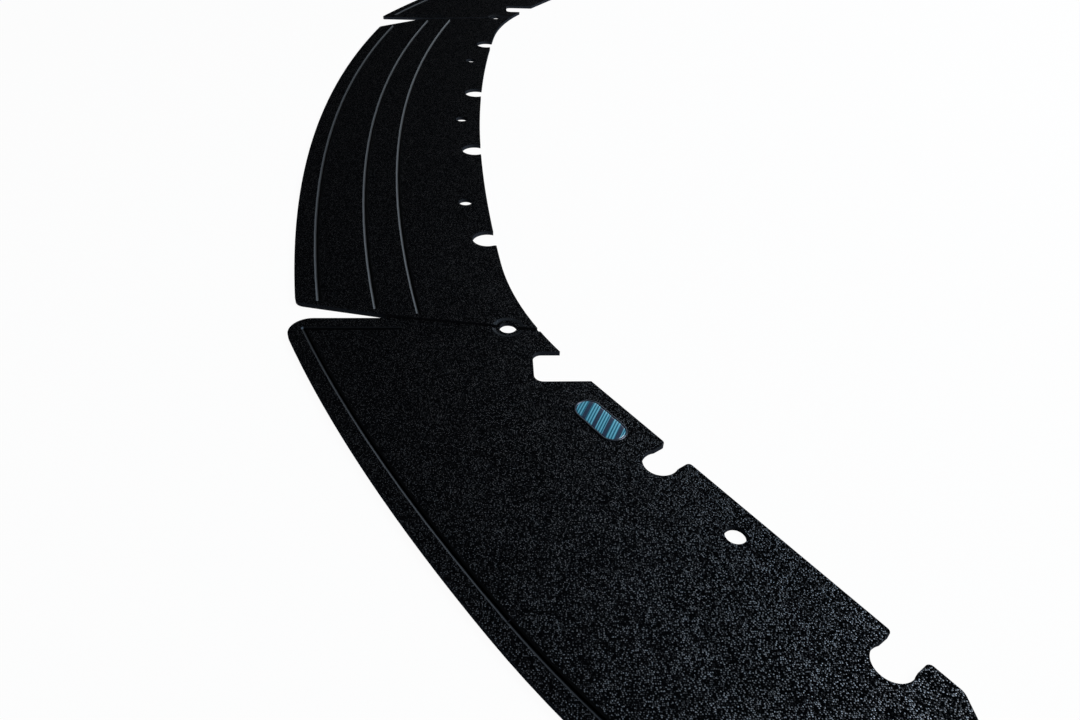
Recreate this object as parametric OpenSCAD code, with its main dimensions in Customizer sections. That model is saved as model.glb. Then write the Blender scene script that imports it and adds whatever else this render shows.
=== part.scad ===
// Three-piece skid plate for the underside of a car's front bumper.
// It lies as it does on a bench: road side up, the flat side that meets the bumper down.
// X runs across the car, Y points to the front of the car, Z up.
// The origin is on the bench, midway across and midway from front to back.

/* [Sheet] */
// Thickness of the plastic sheet
sheet_t = 4; // [3:0.5:6]
// Depth of the whole plate, from the front of the centre panel to the wing ends
plate_depth = 444; // [430:1:470]
// Radius that softens the two front corners of the centre panel
front_corner_r = 10; // [4:1:20]

/* [Centre panel] */
// Radius of the front edge
front_r = 1932; // [1500:1:2600]
// Depth of the centre panel on the centre line
centre_depth = 191; // [170:1:205]
// Radius of the inner edge
inner_r = 2700; // [2200:10:3600]
// Distance from the centre line at which the inner edge starts to turn faster
inner_turn_x = 330; // [300:1:345]
// Radius of the inner edge beyond that distance
inner_end_r = 340; // [330:5:600]

/* [Lap joints] */
// Distance of each joint bolt from the centre line
joint_x = 427.7; // [420:0.1:436]
// Distance of the joint bolts behind the front of the plate
joint_back = 215.4; // [205:0.1:220]
// Angle of each seam to the fore-and-aft line
seam_angle = 8.6; // [4:0.1:12]
// Gap between the top faces along a seam
seam_gap = 4.5; // [1:0.1:6]
// Width of the half-thickness tongue, from the middle of the seam
tongue_w = 22; // [18:1:24]
// Play round the edge of the tongue in its rebate
tongue_play = 0.5; // [0.2:0.1:1.5]
// Distance of the foot of each slit behind the front of the plate
slit_back = 116.2; // [106:0.1:130]
// Angle that the centre panel's side of the left slit adds to the seam angle
left_slit_flare = 4.9; // [2:0.1:12]
// Angle that the centre panel's side of the right slit adds to the seam angle
right_slit_flare = 27; // [5:0.5:32]
// How much further forward the centre panel's side of the right slit starts
right_slit_ahead = 21; // [0:0.5:30]

/* [Wings] */
// Distance of a wing's front corner behind the front of the plate, before it is rounded
wing_back = 32.4; // [25:0.1:45]
// Angle of a wing's outer edge at its front corner
wing_lead = 23.8; // [18:0.1:28]
// Radius of the outer edge
wing_r = 1615; // [1200:1:2200]
// Angle of the outer edge where it starts to turn faster
wing_turn = 35.7; // [32:0.1:40]
// Radius of the outer edge beyond that angle
wing_end_r = 700; // [450:5:800]
// Radius of the front corner of the left wing
left_corner_r = 17; // [8:1:24]
// Radius of the front corner of the right wing, which is left almost sharp
right_corner_r = 3; // [2:0.5:24]
// Radius of the outer corner at the end of a wing
wing_outer_corner_r = 20; // [8:1:40]
// Radius of the inner corner at the end of a wing
wing_inner_corner_r = 8; // [3:1:16]
// Angle of the straight inner edge
wing_edge_angle = 33.8; // [30:0.1:38]
// Distance of the start of the straight inner edge behind the front of the plate
wing_edge_back = 276; // [268:0.5:282]

/* [Bracket notches] */
// Distance of a notch from the centre line
bracket_x = 460; // [458:0.5:470]
// Width of a notch
bracket_w = 36; // [24:0.5:44]
// Distance of the roof of a notch behind the front of the plate
bracket_back = 233.5; // [228:0.5:240]
// Radius of the roof corners of a notch
bracket_corner_r = 7; // [2:0.5:10]

/* [Screw slots] */
// Diameter of the round end of a slot in the centre panel
slot_d = 28; // [25:0.5:30]
// Width of the neck of a slot in the centre panel
neck_w = 25; // [12:0.5:25]
// Diameter of the round end of a slot in a wing
wing_slot_d = 24.5; // [24:0.5:30]
// Width of the neck of a slot in a wing
wing_neck_w = 22.5; // [12:0.5:24]
// Distance of the first pair of slots in the centre panel from the centre line
slot_x_1 = 88; // [70:1:120]
// Distance of the second pair of slots from the centre line
slot_x_2 = 287; // [260:1:300]
// Distance from the inner edge to the middle of a slot's round end in the centre panel
slot_inset = 7; // [4:0.5:14]
// Distance from the start of a wing's straight edge to the first slot
wing_slot_1 = 91; // [84:0.5:105]
// Distance from the start of a wing's straight edge to the second slot
wing_slot_2 = 270; // [230:0.5:274]
// Distance from a wing's edge to the middle of a slot's round end
wing_slot_inset = 15.5; // [14:0.5:22]
// Radius that softens the mouth of a wing's slot
mouth_r = 3; // [1:0.5:5]

/* [Bolt holes] */
// Diameter of a bolt hole
hole_d = 14; // [6:0.5:16]
// Distance of the outer holes in the centre panel from the centre line
hole_x = 214; // [150:1:250]
// Distance of the centre panel's holes from its inner edge
hole_inset = 22; // [18:0.5:30]
// Distance from the start of a wing's straight edge to its hole
wing_hole = 162.5; // [130:0.5:200]
// Distance of a wing's hole from its edge
wing_hole_inset = 20.3; // [16:0.1:30]
// Diameter of the washer seat round a joint bolt
seat_d = 26; // [20:0.5:30]
// Width of the sloping wall of a washer seat
seat_slope_w = 3; // [1:0.5:4]
// Depth of a washer seat
seat_depth = 0.8; // [0.4:0.1:1.2]

/* [Grooves] */
// Width of a groove
groove_w = 4.4; // [2:0.1:5]
// Depth of a groove
groove_depth = 1.4; // [0.6:0.1:1.6]
// How much deeper than the groove the pit at its turn is
pit_extra_depth = 0.1; // [0.1:0.05:0.2]
// How much wider than the groove that pit is, on each side
pit_extra_w = 0.2; // [0.1:0.05:0.4]
// Radius of the three grooves in the centre panel
groove_r = 1905; // [1500:1:2600]
// Distance of the first groove behind the front edge
groove_back_1 = 19; // [14:0.5:30]
// Distance of the second groove behind the front edge
groove_back_2 = 64.7; // [45:0.1:80]
// Distance of the third groove behind the front edge
groove_back_3 = 98.6; // [88:0.1:120]
// Distance of the centre panel's groove ends from its side edges
groove_end = 6; // [4:0.5:15]
// Distance of a wing's groove from the outer edge
wing_groove_inset = 13.8; // [8:0.1:20]
// Distance of a wing's groove from the slit
slit_groove_inset = 14; // [8:0.5:20]
// Distance of a wing's groove end from the end of the wing
wing_groove_end = 14; // [8:0.5:30]

/* [Badge] */
// Length of the badge
badge_l = 47; // [30:1:54]
// Width of the badge
badge_w = 21; // [14:1:26]
// Thickness of the badge's base
badge_t = 0.5; // [0.3:0.1:1]
// Width of the border round the raised field
badge_border = 1.6; // [1:0.1:3]
// Height of the raised field above the base
badge_field_t = 0.4; // [0.2:0.1:0.8]
// Distance from the start of the wing's straight edge to the middle of the badge
badge_along = 36.6; // [32:0.1:44]
// Distance from the wing's edge to the middle of the badge
badge_inset = 22.2; // [18:0.1:30]

/* [Hidden] */
$fn = 96;
// Segments in a full turn of the long grooves
groove_fn = 1440;
// Cutters run this far past the faces that they open
cut = 1;
// How far the tongue reaches back under its own panel, to be one piece with it
tongue_root = 10;
lap_t = sheet_t / 2;

front_y = plate_depth / 2;
end_y = -plate_depth / 2;
inner_y = front_y - centre_depth;
front_c = [0, front_y - front_r];

// The inner edge is a shallow arc that runs into a tighter one on each side.
inner_c = [0, inner_y - inner_r];
inner_turn = asin(inner_turn_x / inner_r);
inner_end_c = inner_c + (inner_r - inner_end_r) * heading(inner_turn);

// The middle line of the right-hand seam, as a normal and a distance from the origin.
joint = [joint_x, front_y - joint_back];
seam_n = [cos(seam_angle), sin(seam_angle)];
seam_k = seam_n * joint;
centre_side_k = seam_k - seam_gap / 2;
wing_side_k = seam_k + seam_gap / 2;
tongue_k = seam_k + tongue_w;

// Each slit opens forwards of its foot: straight ahead on the wing, flared on the centre panel.
slit_y = front_y - slit_back;
wing_foot = seam_point(wing_side_k, slit_y);
left_foot = seam_point(centre_side_k, slit_y);
right_foot = seam_point(centre_side_k, slit_y + right_slit_ahead);

// The outer edge of the right wing: two arcs, with rounded corners at both ends.
wing_front = [wing_foot.x, front_y - wing_back];
wing_c = wing_front - wing_r * heading(wing_lead);
wing_end_c = wing_c + (wing_r - wing_end_r) * heading(wing_turn);
outer_corner_a = acos((end_y + wing_outer_corner_r - wing_end_c.y)
    / (wing_end_r - wing_outer_corner_r));
outer_corner_c = wing_end_c + (wing_end_r - wing_outer_corner_r) * heading(outer_corner_a);

// The straight inner edge of the right wing starts at the bracket notch.
edge_start = [bracket_x + bracket_w, front_y - wing_edge_back];
edge_n = -heading(wing_edge_angle);
inner_corner_y = end_y + wing_inner_corner_r;
inner_corner_c = [
    -(edge_n * edge_start - wing_inner_corner_r + cos(wing_edge_angle) * inner_corner_y)
        / sin(wing_edge_angle),
    inner_corner_y
];
bracket_roof_y = front_y - bracket_back;

// Unit vector at an angle from the front, turning towards the right
function heading(a) = [sin(a), cos(a)];
// Points along an arc, from one heading to another, with both ends
function arc(c, r, a0, a1, n) = [for (i = [0:n]) c + r * heading(a0 + (a1 - a0) * i / n)];
// A list without its first entry, so that joined arcs share one point
function rest(v) = [for (i = [1:len(v) - 1]) v[i]];
// A point on a line parallel to the seam, at a given y
function seam_point(k, y) = [(k - y * sin(seam_angle)) / cos(seam_angle), y];
// Heading at which a line parallel to the seam meets the end arc of the inner edge
function seam_meets_inner(k) = asin((k - seam_n * inner_end_c) / inner_end_r) - seam_angle;
// The inner edge's y at a distance x from the centre line
function inner_edge_y(x) = inner_c.y + sqrt(inner_r * inner_r - x * x);
// A point measured along a wing's straight edge and in from it
function on_wing(along, inset) = edge_start
    + along * [cos(wing_edge_angle), -sin(wing_edge_angle)] - inset * edge_n;
// Heading at which an arc about c comes within d of a line at an angle through p
function arc_stop(c, r, p, angle, d) = let (n = [cos(angle), sin(angle)])
    asin((n * (p - c) - d) / r) - angle;
// Heading at which a groove in the centre panel ends, short of the slit and of the seam
function groove_stop(c, foot, flare) = min(
    arc_stop(c, groove_r, foot, seam_angle + flare, groove_end),
    arc_stop(c, groove_r, foot, seam_angle, groove_end)
);

// Half of the centre panel's outline as seen on the right, from the front to the inner edge
function centre_half(foot, flare) = let (
    slit_angle = seam_angle + flare,
    slit_n = [cos(slit_angle), sin(slit_angle)],
    corner_a = asin((slit_n * (foot - front_c) - front_corner_r)
        / (front_r - front_corner_r)) - slit_angle,
    corner_c = front_c + (front_r - front_corner_r) * heading(corner_a)
) concat(
    arc(front_c, front_r, 0, corner_a, 24),
    rest(arc(corner_c, front_corner_r, corner_a, 90 - slit_angle, 8)),
    [foot],
    arc(inner_end_c, inner_end_r, seam_meets_inner(centre_side_k), inner_turn, 10),
    rest(arc(inner_c, inner_r, inner_turn, 0, 20))
);

// A wing's outline as seen on the right, with its notch, slots and hole still to be cut
function wing_outline(corner_r) = let (
    corner_a = asin((wing_foot.x + corner_r - wing_c.x) / (wing_r - corner_r)),
    corner_c = wing_c + (wing_r - corner_r) * heading(corner_a)
) concat(
    [wing_foot],
    arc(corner_c, corner_r, -90, corner_a, 12),
    rest(arc(wing_c, wing_r, corner_a, wing_turn, 18)),
    rest(arc(wing_end_c, wing_end_r, wing_turn, outer_corner_a, 18)),
    rest(arc(outer_corner_c, wing_outer_corner_r, outer_corner_a, 180, 10)),
    arc(inner_corner_c, wing_inner_corner_r, 180, 180 + wing_edge_angle, 4),
    [edge_start],
    arc(inner_end_c, inner_end_r, asin((bracket_x - inner_end_c.x) / inner_end_r),
        seam_meets_inner(wing_side_k), 5)
);

// A slot that opens towards -Y, with its round end at the origin
module slot(inset, d, neck, corner_r) {
    circle(d = d);
    translate([-neck / 2, -inset - d])
        square([neck, inset + d]);
    if (corner_r > 0)
        for (side = [0, 1]) mirror([side, 0])
            translate([neck / 2, -inset]) difference() {
                translate([-cut, -cut])
                    square([corner_r + cut, corner_r + cut]);
                translate([corner_r, corner_r])
                    circle(r = corner_r);
            }
}

// The right-hand tongue, which ends flush with the inner edge
module tongue_area() {
    k0 = centre_side_k - tongue_root;
    polygon(concat(
        [seam_point(k0, slit_y), seam_point(tongue_k, slit_y)],
        arc(inner_end_c, inner_end_r, seam_meets_inner(tongue_k), seam_meets_inner(k0), 10)
    ));
}

// The rebate that takes the tongue, with play on two sides and open on the other two
module rebate_area() {
    k1 = tongue_k + tongue_play;
    top = slit_y + tongue_play;
    bottom = edge_start.y;
    polygon([
        seam_point(centre_side_k, top),
        seam_point(k1, top),
        seam_point(k1, bottom),
        seam_point(centre_side_k, bottom)
    ]);
}

// A V-shaped cut along an arc
module arc_groove(c, r, a0, a1) {
    translate([c.x, c.y, sheet_t]) rotate([0, 0, 90 - a1])
        rotate_extrude(angle = a1 - a0, $fn = groove_fn) translate([r, 0]) groove_section();
}

// A V-shaped cut that runs straight back from a point
module straight_groove(p, length) {
    translate([p.x, p.y, sheet_t]) rotate([90, 0, 0])
        linear_extrude(length) groove_section();
}

module groove_section() {
    over = cut / groove_depth * groove_w / 2;
    polygon([[0, -groove_depth], [groove_w / 2 + over, cut], [-groove_w / 2 - over, cut]]);
}

// The pointed round pit where a groove turns, a little wider and deeper than the groove
module groove_corner(p) {
    depth = groove_depth + pit_extra_depth;
    r = groove_w / 2 + pit_extra_w;
    translate([p.x, p.y, sheet_t - depth])
        cylinder(h = depth + cut, r1 = 0, r2 = r * (depth + cut) / depth);
}

// A bolt hole right through the sheet
module bolt_hole(p) {
    translate([p.x, p.y, -cut])
        cylinder(h = sheet_t + 2 * cut, d = hole_d);
}

// The shallow seat for the washer of a joint bolt
module washer_seat(p) {
    slope = seat_slope_w / seat_depth;
    translate([p.x, p.y, sheet_t - seat_depth])
        cylinder(h = seat_depth + cut, d1 = seat_d - 2 * seat_slope_w, d2 = seat_d + 2 * cut * slope);
}

module centre_panel() {
    right = centre_half(right_foot, right_slit_flare);
    left = centre_half(left_foot, left_slit_flare);
    left_back = [for (i = [len(left) - 2:-1:1]) [-left[i].x, left[i].y]];
    color("#1b1d20") difference() {
        union() {
            linear_extrude(sheet_t) difference() {
                polygon(concat(right, left_back));
                for (side = [-1, 1], x = [slot_x_1, slot_x_2])
                    translate([side * x, inner_edge_y(x) + slot_inset]) slot(slot_inset, slot_d, neck_w, 0);
            }
            for (side = [0, 1]) mirror([side, 0, 0])
                linear_extrude(lap_t) tongue_area();
        }
        for (x = [-hole_x, 0, hole_x]) bolt_hole([x, inner_edge_y(x) + hole_inset]);
        for (side = [-1, 1]) {
            bolt_hole([side * joint.x, joint.y]);
            washer_seat([side * joint.x, joint.y]);
        }
        centre_grooves();
    }
}

// Three grooves of the same radius, each ending just short of the panel's side edges
module centre_grooves() {
    for (back = [groove_back_1, groove_back_2, groove_back_3]) {
        c = [0, front_y - back - groove_r];
        arc_groove(c, groove_r, -groove_stop(c, left_foot, left_slit_flare),
            groove_stop(c, right_foot, right_slit_flare));
    }
}

// The right wing. The left one is its mirror image but for the front corner.
module wing(corner_r) {
    color("#24272b") difference() {
        linear_extrude(sheet_t) difference() {
            polygon(wing_outline(corner_r));
            bracket_notch();
            for (along = [wing_slot_1, wing_slot_2])
                translate(on_wing(along, wing_slot_inset)) rotate(-wing_edge_angle)
                    slot(wing_slot_inset, wing_slot_d, wing_neck_w, mouth_r);
        }
        translate([0, 0, -cut])
            linear_extrude(lap_t + cut) rebate_area();
        bolt_hole(on_wing(wing_hole, wing_hole_inset));
        bolt_hole(joint);
        washer_seat(joint);
        wing_grooves();
    }
}

// A notch with a rounded roof, open towards the back
module bracket_notch() {
    r = bracket_corner_r;
    reach = bracket_roof_y - edge_start.y + bracket_w;
    translate([bracket_x, bracket_roof_y]) {
        translate([0, -reach])
            square([bracket_w, reach - r]);
        translate([r, -2 * r])
            square([bracket_w - 2 * r, 2 * r]);
        for (x = [r, bracket_w - r]) translate([x, -r])
            circle(r = r);
    }
}

// One groove that follows the outer edge and turns back along the slit
module wing_grooves() {
    r1 = wing_r - wing_groove_inset;
    r2 = wing_end_r - wing_groove_inset;
    x = wing_foot.x + slit_groove_inset;
    a0 = asin((x - wing_c.x) / r1);
    a1 = acos((end_y + wing_groove_end - wing_end_c.y) / r2);
    corner = wing_c + r1 * heading(a0);
    arc_groove(wing_c, r1, a0, wing_turn);
    arc_groove(wing_end_c, r2, wing_turn, a1);
    straight_groove(corner, corner.y - slit_y + slit_groove_inset);
    groove_corner(corner);
}

module left_wing() {
    mirror([1, 0, 0]) wing(left_corner_r);
}

module right_wing() {
    wing(right_corner_r);
}

// A plain oval badge with a raised field, on the left wing only
module badge() {
    p = on_wing(badge_along, badge_inset);
    color("#2f7fb5") translate([-p.x, p.y, sheet_t]) rotate(wing_edge_angle) {
        linear_extrude(badge_t) oval(badge_l, badge_w);
        linear_extrude(badge_t + badge_field_t)
            oval(badge_l - 2 * badge_border, badge_w - 2 * badge_border);
    }
}

module oval(l, w) {
    square([l - w, w], center = true);
    for (side = [-1, 1]) translate([side * (l - w) / 2, 0])
        circle(d = w);
}

centre_panel();
left_wing();
right_wing();
badge();
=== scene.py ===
"""The looks of a three-piece skid plate: grained black sheet, an enamelled badge, a white floor."""

import math

import bmesh
import bpy
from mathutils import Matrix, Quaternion, Vector


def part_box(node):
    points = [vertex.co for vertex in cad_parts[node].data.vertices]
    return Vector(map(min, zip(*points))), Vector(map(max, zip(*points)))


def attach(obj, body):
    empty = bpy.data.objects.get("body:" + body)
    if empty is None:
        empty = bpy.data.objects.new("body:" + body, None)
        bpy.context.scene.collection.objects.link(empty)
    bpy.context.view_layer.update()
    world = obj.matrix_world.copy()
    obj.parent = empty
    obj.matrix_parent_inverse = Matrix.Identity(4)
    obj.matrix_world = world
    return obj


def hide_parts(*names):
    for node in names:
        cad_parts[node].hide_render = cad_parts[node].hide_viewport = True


MM = 0.001
WHITE = (1, 1, 1, 1)

# Camera: where it stands, in metres, and where it looks, in degrees
CAMERA_AT = (-0.9521, 0.0238, 0.389)
CAMERA_HEADING = -4.84
CAMERA_PITCH = -38.54
CAMERA_ROLL = 2.78
LENS_MM = 26.84
SENSOR_MM = 36.0
CLIP_START = 0.01

# How far up a face looks: below both ranges it is an upright wall, between them a groove's wall
SLOPING_LEVEL = (0.4, 0.6)
FLAT_LEVEL = (0.93, 0.99)
# Heights between which a groove's wall turns from painted shade in the sheet's black to the painted
# highlight of its pale lip
GROOVE_HIGHLIGHT_HEIGHTS = (3.05 * MM, 3.35 * MM)
# The sheet's colours, a pale painted glint for some grain domes among them, and its roughness where
# flat, on a painted glint and where cut
SHEET_BLACK = (0.0013, 0.0015, 0.0019, 1)
# Painted glint: a pale metallic colour on a few grain domes stands in for the sheet's glints and sheen
SHEET_PAINTED_GLINT = (0.330, 0.323, 0.326, 1)
SHEET_EDGE = (0.022, 0.025, 0.031, 1)
# Painted highlight: the pale colour of a groove's lip; below it the groove is painted in shade with the
# sheet's black
SHEET_GROOVE_HIGHLIGHT = (0.066, 0.072, 0.080, 1)
SHEET_ROUGHNESS = 0.5
PAINTED_GLINT_ROUGHNESS = 0.36
CUT_ROUGHNESS = 0.34

# Grain: domed pebbles, of which few carry a painted glint, under a finer noise and in patches where the
# painted glints are stronger or weaker
PEBBLES_PER_M = 950.0
# Distances from a pebble's middle, in pebbles, between which its dome falls away
PEBBLE_DOME = (0.11, 0.48)
# The higher this power of a pebble's chance, the fewer carry a painted glint
PAINTED_GLINT_RARITY = 3.2
# A painted glint turns to metal between these strengths
PAINTED_GLINT_METAL = (0.0, 0.06)
FINE_GRAIN_PER_M = 1400.0
FINE_GRAIN_DETAIL = 2.0
PATCHES_PER_M = 90.0
PATCH_DETAIL = 4.0
PATCH_NOISE = (0.35, 0.65)
PATCH_SHINE = (0.7, 1.3)
GRAIN_NOISE_ROUGHNESS = 0.6
GRAIN_BUMP = 0.5
GRAIN_DEPTH = 0.12 * MM

# Badge: the angle of its long side to the X axis, and its two pieces
BADGE_ANGLE = 33.8
BADGE_ARC_STEPS = 24
RIM_W = 1.5 * MM
RIM_BELOW_DOME = 0.175 * MM
# The rim's section, from its outer foot to its inner one, in parts of its width and height
RIM_SECTION = (
    (0.0, 0.0), (0.0, 0.55), (0.12, 0.85), (0.35, 1.0),
    (0.65, 1.0), (0.88, 0.85), (1.0, 0.55), (1.0, 0.0),
)
# The face's edge is hidden in the rim, at this part of the rim's height
FACE_INSET = 0.9 * RIM_W
FACE_EDGE_UP = 0.6
DOME_RINGS = 10
DOME_FULLNESS = 0.7

# Finishes of the badge
BADGE_NOISE = (0.3, 0.7)
BADGE_BUMP_DEPTH = 0.02 * MM
RIM_BRUSH_PER_M = (300.0, 4000.0, 4000.0)
RIM_DARK = (0.05, 0.055, 0.07, 1)
RIM_LIGHT = (0.12, 0.13, 0.16, 1)
RIM_METALLIC = 0.8
RIM_ROUGHNESS = (0.25, 0.4)
RIM_BUMP = 0.2
FACE_DARK_BLUE = (0.012, 0.13, 0.20, 1)
FACE_PALE_BLUE = (0.17, 0.52, 0.66, 1)
FACE_BAR = (0.03, 0.05, 0.09, 1)
FACE_SLANT = 0.6
BAR_PITCH = 11.0 * MM
BAR_EDGE = (0.45, 0.6)
HATCH_PITCH = 2.4 * MM
HATCH_EDGE = (-0.6, 0.6)
FLAKES_PER_M = 2500.0
FACE_ROUGHNESS = (0.22, 0.34)
FACE_BUMP = 0.15
COAT_WEIGHT = 0.6
COAT_ROUGHNESS = 0.08

# Floor: wide enough to fill every view, and just under the part
FLOOR_SIZE = 40.0
FLOOR_DROP = 0.05 * MM
FLOOR_PAINT = (0.85, 0.85, 0.85, 1)
FLOOR_ROUGHNESS = 0.9
# Share of plain white in what the camera sees of the floor, where the rest is lit paint
FLOOR_GLOW_SHARE = 0.96

# Light: the tints of two lamps, and the world's strength for all but the camera
BLUISH = (0.46, 0.72, 1.0)
COOL_WHITE = (0.85, 0.93, 1.0)
WORLD_FILL = 0.012


def add_object(name, data):
    """A new object in the scene."""
    made = bpy.data.objects.new(name, data)
    bpy.context.scene.collection.objects.link(made)
    return made


def add_mesh(name, bm):
    """A new object of a bmesh, which is freed."""
    mesh = bpy.data.meshes.new(name)
    bm.to_mesh(mesh)
    bm.free()
    return add_object(name, mesh)


def set_inputs(tree, made, **inputs):
    """Stores plain values in a node's sockets and links those that come from another node.

    An underscore stands for a space in a socket's name, and i0 is the socket with index 0.
    """
    for name, value in inputs.items():
        key = int(name[1:]) if name[1:].isdigit() else name.replace("_", " ")
        if isinstance(value, bpy.types.NodeSocket):
            tree.links.new(value, made.inputs[key])
        else:
            made.inputs[key].default_value = value


def node(tree, kind, **inputs):
    """A new node with its sockets set."""
    made = tree.nodes.new(kind)
    set_inputs(tree, made, **inputs)
    return made


def material(name):
    """A new node material with a Principled shader on its output."""
    mat = bpy.data.materials.new(name)
    mat.use_nodes = True
    tree = mat.node_tree
    tree.nodes.clear()
    shader = tree.nodes.new("ShaderNodeBsdfPrincipled")
    node(tree, "ShaderNodeOutputMaterial", Surface=shader.outputs[0])
    return mat, tree, shader


def object_place(tree):
    """Where a point lies on its own object, in metres."""
    return tree.nodes.new("ShaderNodeTexCoord").outputs["Object"]


def split(tree, vector):
    """The X, Y and Z of a vector."""
    return node(tree, "ShaderNodeSeparateXYZ", Vector=vector).outputs


def math_node(tree, operation, a, b=0.0):
    """The result of an operation on two values, or on the first alone where it takes one."""
    made = node(tree, "ShaderNodeMath", i0=a, i1=b)
    made.operation = operation
    return made.outputs[0]


def ramp(tree, value, span, to=(0.0, 1.0)):
    """A value moved from one range to another, and held at its ends."""
    made = node(
        tree, "ShaderNodeMapRange",
        Value=value, From_Min=span[0], From_Max=span[1], To_Min=to[0], To_Max=to[1],
    )
    return made.outputs["Result"]


def mix_value(tree, factor, a, b):
    """The value a where the factor is 0, and b where it is 1."""
    return node(tree, "ShaderNodeMix", i0=factor, i2=a, i3=b).outputs[0]


def mix_colour(tree, factor, a, b):
    """The colour a where the factor is 0, and b where it is 1."""
    made = tree.nodes.new("ShaderNodeMix")
    made.data_type = "RGBA"
    set_inputs(tree, made, i0=factor, i6=a, i7=b)
    return made.outputs[2]


def noise(tree, place, per_m, detail=2.0, roughness=0.5):
    """A cloudy value between 0 and 1, with so many clouds to the metre."""
    made = node(
        tree, "ShaderNodeTexNoise", Vector=place, Scale=per_m, Detail=detail, Roughness=roughness,
    )
    return made.outputs[0]


def bumped(tree, height, strength, depth):
    """A surface normal bent by a height, of which 1 stands for depth metres."""
    return node(tree, "ShaderNodeBump", Strength=strength, Distance=depth, Height=height).outputs[0]


def sheet_faces(tree, place):
    """Where the sheet is flat, where it isn't an upright wall, and where it is high enough for a
    groove's painted highlight.
    """
    normal = tree.nodes.new("ShaderNodeNewGeometry").outputs["Normal"]
    level = math_node(tree, "ABSOLUTE", split(tree, normal)["Z"])
    flat = ramp(tree, level, FLAT_LEVEL)
    sloping = ramp(tree, level, SLOPING_LEVEL)
    lip_highlight = ramp(tree, split(tree, place)["Z"], GROOVE_HIGHLIGHT_HEIGHTS)
    return flat, sloping, lip_highlight


def pebbled_grain(tree, place):
    """The domes of a leather grain, and how strongly each of them carries a painted glint."""
    pebbles = tree.nodes.new("ShaderNodeTexVoronoi")
    pebbles.voronoi_dimensions = "2D"
    set_inputs(tree, pebbles, Vector=place, Scale=PEBBLES_PER_M)
    dome = ramp(tree, pebbles.outputs["Distance"], PEBBLE_DOME, to=(1.0, 0.0))
    chance = node(tree, "ShaderNodeSeparateColor", Color=pebbles.outputs["Color"]).outputs["Red"]
    shine = math_node(tree, "POWER", chance, PAINTED_GLINT_RARITY)
    patches = noise(tree, place, PATCHES_PER_M, PATCH_DETAIL, GRAIN_NOISE_ROUGHNESS)
    painted_glint_patches = ramp(tree, patches, PATCH_NOISE, to=PATCH_SHINE)
    # Painted glint: how strongly each dome carries the pale glint colour, stronger or weaker in patches
    painted_glint = math_node(tree, "MULTIPLY", math_node(tree, "MULTIPLY", dome, shine), painted_glint_patches)
    return dome, painted_glint


def grained_sheet():
    """Black sheet: grain with pale painted glints where flat, dark walls, and grooves whose pale lip is
    a painted highlight over painted shade.
    """
    mat, tree, shader = material("grained_sheet")
    place = object_place(tree)
    flat, sloping, lip_highlight = sheet_faces(tree, place)
    dome, painted_glint = pebbled_grain(tree, place)
    fine = noise(tree, place, FINE_GRAIN_PER_M, FINE_GRAIN_DETAIL, GRAIN_NOISE_ROUGHNESS)
    grain = math_node(tree, "MULTIPLY", math_node(tree, "ADD", dome, fine), flat)
    # Painted glint, kept to where the sheet is flat
    flat_painted_glint = math_node(tree, "MULTIPLY", painted_glint, flat)

    # Groove walls: painted shade in the sheet's black low down, and a painted highlight on the lip
    groove_highlight_over_shade = mix_colour(tree, lip_highlight, SHEET_BLACK, SHEET_GROOVE_HIGHLIGHT)
    cut_faces = mix_colour(tree, sloping, SHEET_EDGE, groove_highlight_over_shade)
    # Flat faces: the sheet's black with pale painted glints
    flat_faces = mix_colour(tree, flat_painted_glint, SHEET_BLACK, SHEET_PAINTED_GLINT)
    flat_roughness = mix_value(tree, flat_painted_glint, SHEET_ROUGHNESS, PAINTED_GLINT_ROUGHNESS)
    set_inputs(
        tree, shader,
        Base_Color=mix_colour(tree, flat, cut_faces, flat_faces),
        Metallic=mix_value(tree, flat, sloping, ramp(tree, flat_painted_glint, PAINTED_GLINT_METAL)),
        Roughness=mix_value(tree, flat, CUT_ROUGHNESS, flat_roughness),
        Normal=bumped(tree, grain, GRAIN_BUMP, GRAIN_DEPTH),
        Specular_IOR_Level=0.0,
    )
    return mat


def badge_rim_material():
    """Dark smoked metal with a fine brushed grain."""
    mat, tree, shader = material("badge_rim")
    stretched = node(tree, "ShaderNodeVectorMath", i0=object_place(tree), i1=RIM_BRUSH_PER_M)
    stretched.operation = "MULTIPLY"
    brushed = noise(tree, stretched.outputs[0], 1.0)
    set_inputs(
        tree, shader,
        Base_Color=mix_colour(tree, brushed, RIM_DARK, RIM_LIGHT),
        Metallic=RIM_METALLIC,
        Roughness=ramp(tree, brushed, BADGE_NOISE, to=RIM_ROUGHNESS),
        Normal=bumped(tree, brushed, RIM_BUMP, BADGE_BUMP_DEPTH),
    )
    return mat


def stripes(tree, across, pitch, edge):
    """Stripes with soft edges: 1 on a stripe, and 0 between them."""
    wave = math_node(tree, "SINE", math_node(tree, "MULTIPLY", across, 2 * math.pi / pitch))
    return ramp(tree, wave, edge)


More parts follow.
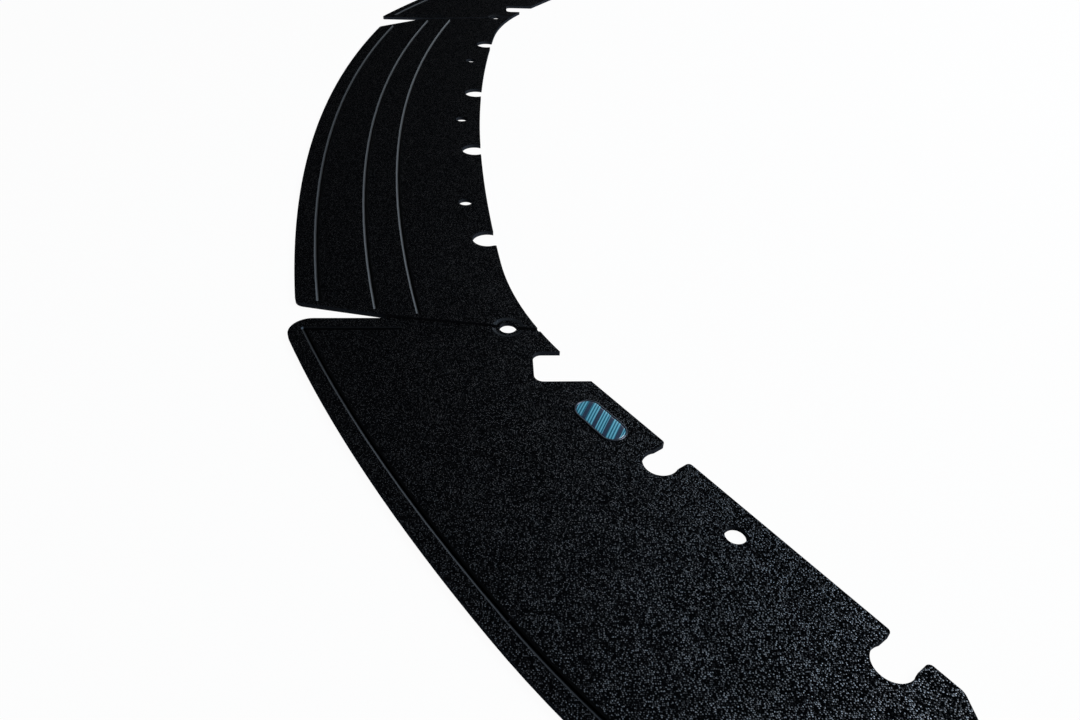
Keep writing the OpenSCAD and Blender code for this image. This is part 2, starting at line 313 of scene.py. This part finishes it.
def badge_face_material():
    """Hatched blue enamel with slanted dark bars under a clear coat."""
    mat, tree, shader = material("badge_face")
    place = object_place(tree)
    parts = split(tree, place)
    slant = math_node(tree, "ADD", parts["X"], math_node(tree, "MULTIPLY", parts["Y"], FACE_SLANT))
    bar = stripes(tree, slant, BAR_PITCH, BAR_EDGE)
    hatch = stripes(tree, slant, HATCH_PITCH, HATCH_EDGE)
    blue = mix_colour(tree, hatch, FACE_DARK_BLUE, FACE_PALE_BLUE)
    flakes = noise(tree, place, FLAKES_PER_M)
    set_inputs(
        tree, shader,
        Base_Color=mix_colour(tree, bar, blue, FACE_BAR),
        Roughness=ramp(tree, flakes, BADGE_NOISE, to=FACE_ROUGHNESS),
        Normal=bumped(tree, flakes, FACE_BUMP, BADGE_BUMP_DEPTH),
        Coat_Weight=COAT_WEIGHT,
        Coat_Roughness=COAT_ROUGHNESS,
    )
    return mat


def stadium(length, width, z, inset):
    """Points round a straight-sided oval, with the origin at its middle."""
    radius = width / 2 - inset
    half_straight = (length - width) / 2
    points = []
    for side, start in ((1, -90), (-1, 90)):
        for i in range(BADGE_ARC_STEPS + 1):
            angle = math.radians(start + 180 * i / BADGE_ARC_STEPS)
            x = side * half_straight + radius * math.cos(angle)
            points.append((x, radius * math.sin(angle), z))
    return points


def lofted(name, rings, capped):
    """A smooth skin over rings of points, capped at both ends or else joined end to end."""
    bm = bmesh.new()
    loops = [[bm.verts.new(point) for point in ring] for ring in rings]
    pairs = list(zip(loops, loops[1:]))
    if not capped:
        pairs.append((loops[-1], loops[0]))
    for low, high in pairs:
        for i in range(len(low)):
            j = (i + 1) % len(low)
            bm.faces.new((low[i], low[j], high[j], high[i]))
    if capped:
        bm.faces.new(loops[-1])
        bm.faces.new(list(reversed(loops[0])))
    bmesh.ops.recalc_face_normals(bm, faces=bm.faces)
    made = add_mesh(name, bm)
    for face in made.data.polygons:
        face.use_smooth = True
    return made


def badge_size():
    """Middle of the badge on its base, its length, width and height, from the CAD node's box."""
    low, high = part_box("badge")
    span = high - low
    angle = math.radians(BADGE_ANGLE)
    straight = (span.x - span.y) / (math.cos(angle) - math.sin(angle))
    width = span.x - straight * math.cos(angle)
    middle = Vector(((low.x + high.x) / 2, (low.y + high.y) / 2, low.z))
    return middle, straight + width, width, span.z


def badge_rim(length, width, top):
    """A ring with rolled edges."""
    rings = [stadium(length, width, up * top, across * RIM_W) for across, up in RIM_SECTION]
    return lofted("badge_rim_ring", rings, capped=False)


def badge_face(length, width, edge, top):
    """A domed plate, whose edge is hidden in the rim."""
    rings = [stadium(length, width, 0.0, FACE_INSET)]
    for i in range(DOME_RINGS):
        inward = i / DOME_RINGS
        z = edge + (top - edge) * math.sin(inward * math.pi / 2) ** DOME_FULLNESS
        rings.append(stadium(length, width, z, FACE_INSET + inward * (width / 2 - FACE_INSET)))
    return lofted("badge_enamel_face", rings, capped=True)


def build_badge():
    """A metal rim round a domed enamel face, in place of the plain CAD badge."""
    middle, length, width, height = badge_size()
    rim_top = height - RIM_BELOW_DOME
    rim = badge_rim(length, width, rim_top)
    face = badge_face(length, width, rim_top * FACE_EDGE_UP, height)
    for piece, finish in ((rim, badge_rim_material()), (face, badge_face_material())):
        piece.location = middle
        piece.rotation_euler.z = math.radians(BADGE_ANGLE)
        piece.data.materials.append(finish)
        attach(piece, "root")
        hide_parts("badge")


def dress_panels(frame):
    """Puts the grained sheet on the three panels."""
    sheet = grained_sheet()
    for name in ("centre_panel", "left_wing", "right_wing"):
        panel = frame["nodes"][name]
        panel.data.materials.clear()
        panel.data.materials.append(sheet)


def floor_material():
    """White to the camera and in reflections, with a faint shadow kept, and pale for all other light."""
    mat, tree, shader = material("studio_floor")
    set_inputs(tree, shader, Base_Color=FLOOR_PAINT, Roughness=FLOOR_ROUGHNESS)
    glow = node(tree, "ShaderNodeEmission", Color=WHITE, Strength=1.0)
    rays = tree.nodes.new("ShaderNodeLightPath").outputs
    mirrored = math_node(tree, "MAXIMUM", rays["Is Glossy Ray"], rays["Is Transmission Ray"])
    seen = math_node(tree, "MAXIMUM", rays["Is Camera Ray"], mirrored)
    share = math_node(tree, "MULTIPLY", seen, FLOOR_GLOW_SHARE)
    mixed = node(tree, "ShaderNodeMixShader", i0=share, i1=shader.outputs[0], i2=glow.outputs[0])
    output = next(n for n in tree.nodes if n.type == "OUTPUT_MATERIAL")
    set_inputs(tree, output, Surface=mixed.outputs[0])
    return mat


def build_floor():
    """One wide square just under the part."""
    half = FLOOR_SIZE / 2
    corners = ((-half, -half), (half, -half), (half, half), (-half, half))
    bm = bmesh.new()
    bm.faces.new([bm.verts.new((x, y, -FLOOR_DROP)) for x, y in corners])
    floor = add_mesh("studio_floor", bm)
    floor.data.materials.append(floor_material())


def soft_box(name, at, aim, size, power, colour=(1, 1, 1)):
    """A rectangular lamp at a point, facing another."""
    lamp = bpy.data.lights.new(name, "AREA")
    lamp.shape = "RECTANGLE"
    lamp.size, lamp.size_y = size
    lamp.energy = power
    lamp.color = colour
    made = add_object(name, lamp)
    made.location = at
    made.rotation_mode = "QUATERNION"
    made.rotation_quaternion = (Vector(aim) - Vector(at)).to_track_quat("-Z", "Y")


def light_studio():
    """Three lamps.

    The main one stands to the right of the camera, a bluish one hangs nearer to the wing, and the
    third stands far ahead and glints in the grooves.
    """
    soft_box("main_box", at=(-0.7, -2.7, 2.1), aim=(-0.1, 0.0, 0.0), size=(2.2, 1.6), power=100)
    soft_box(
        "side_box", at=(0.1, -1.6, 2.0), aim=(-0.7, -0.1, 0.0), size=(1.8, 1.3),
        power=20, colour=BLUISH,
    )
    soft_box(
        "groove_box", at=(3.1, -1.7, 1.3), aim=(-0.3, 0.1, 0.0), size=(1.5, 1.6),
        power=16, colour=COOL_WHITE,
    )


def build_world():
    """A white sky to the camera, and a faint fill for all other light."""
    world = bpy.data.worlds.new("studio")
    world.use_nodes = True
    bpy.context.scene.world = world
    tree = world.node_tree
    tree.nodes.clear()
    seen = tree.nodes.new("ShaderNodeLightPath").outputs["Is Camera Ray"]
    strength = ramp(tree, seen, (0.0, 1.0), to=(WORLD_FILL, 1.0))
    sky = node(tree, "ShaderNodeBackground", Color=WHITE, Strength=strength)
    node(tree, "ShaderNodeOutputWorld", Surface=sky.outputs[0])


def place_camera():
    """The camera of the photo, turned to its heading and pitch and then rolled."""
    heading, pitch = math.radians(CAMERA_HEADING), math.radians(CAMERA_PITCH)
    forward = Vector((
        math.cos(pitch) * math.cos(heading),
        math.cos(pitch) * math.sin(heading),
        math.sin(pitch),
    ))
    lens = bpy.data.cameras.new("camera")
    lens.lens = LENS_MM
    lens.sensor_width = SENSOR_MM
    lens.sensor_fit = "HORIZONTAL"
    lens.clip_start = CLIP_START
    camera = add_object("camera", lens)
    camera.location = CAMERA_AT
    camera.rotation_mode = "QUATERNION"
    roll = Quaternion((0, 0, 1), math.radians(CAMERA_ROLL))
    camera.rotation_quaternion = forward.to_track_quat("-Z", "Y") @ roll
    bpy.context.scene.camera = camera


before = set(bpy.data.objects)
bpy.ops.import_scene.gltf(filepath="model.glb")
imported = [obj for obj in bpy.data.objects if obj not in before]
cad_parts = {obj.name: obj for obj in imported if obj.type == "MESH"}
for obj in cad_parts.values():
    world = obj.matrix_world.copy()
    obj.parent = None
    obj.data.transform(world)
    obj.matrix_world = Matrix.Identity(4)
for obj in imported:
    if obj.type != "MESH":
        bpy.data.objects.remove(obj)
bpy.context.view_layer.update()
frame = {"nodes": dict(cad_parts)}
bpy.context.scene.view_settings.view_transform = "Standard"
place_camera()
dress_panels(frame)
build_badge()
build_floor()
light_studio()
build_world()
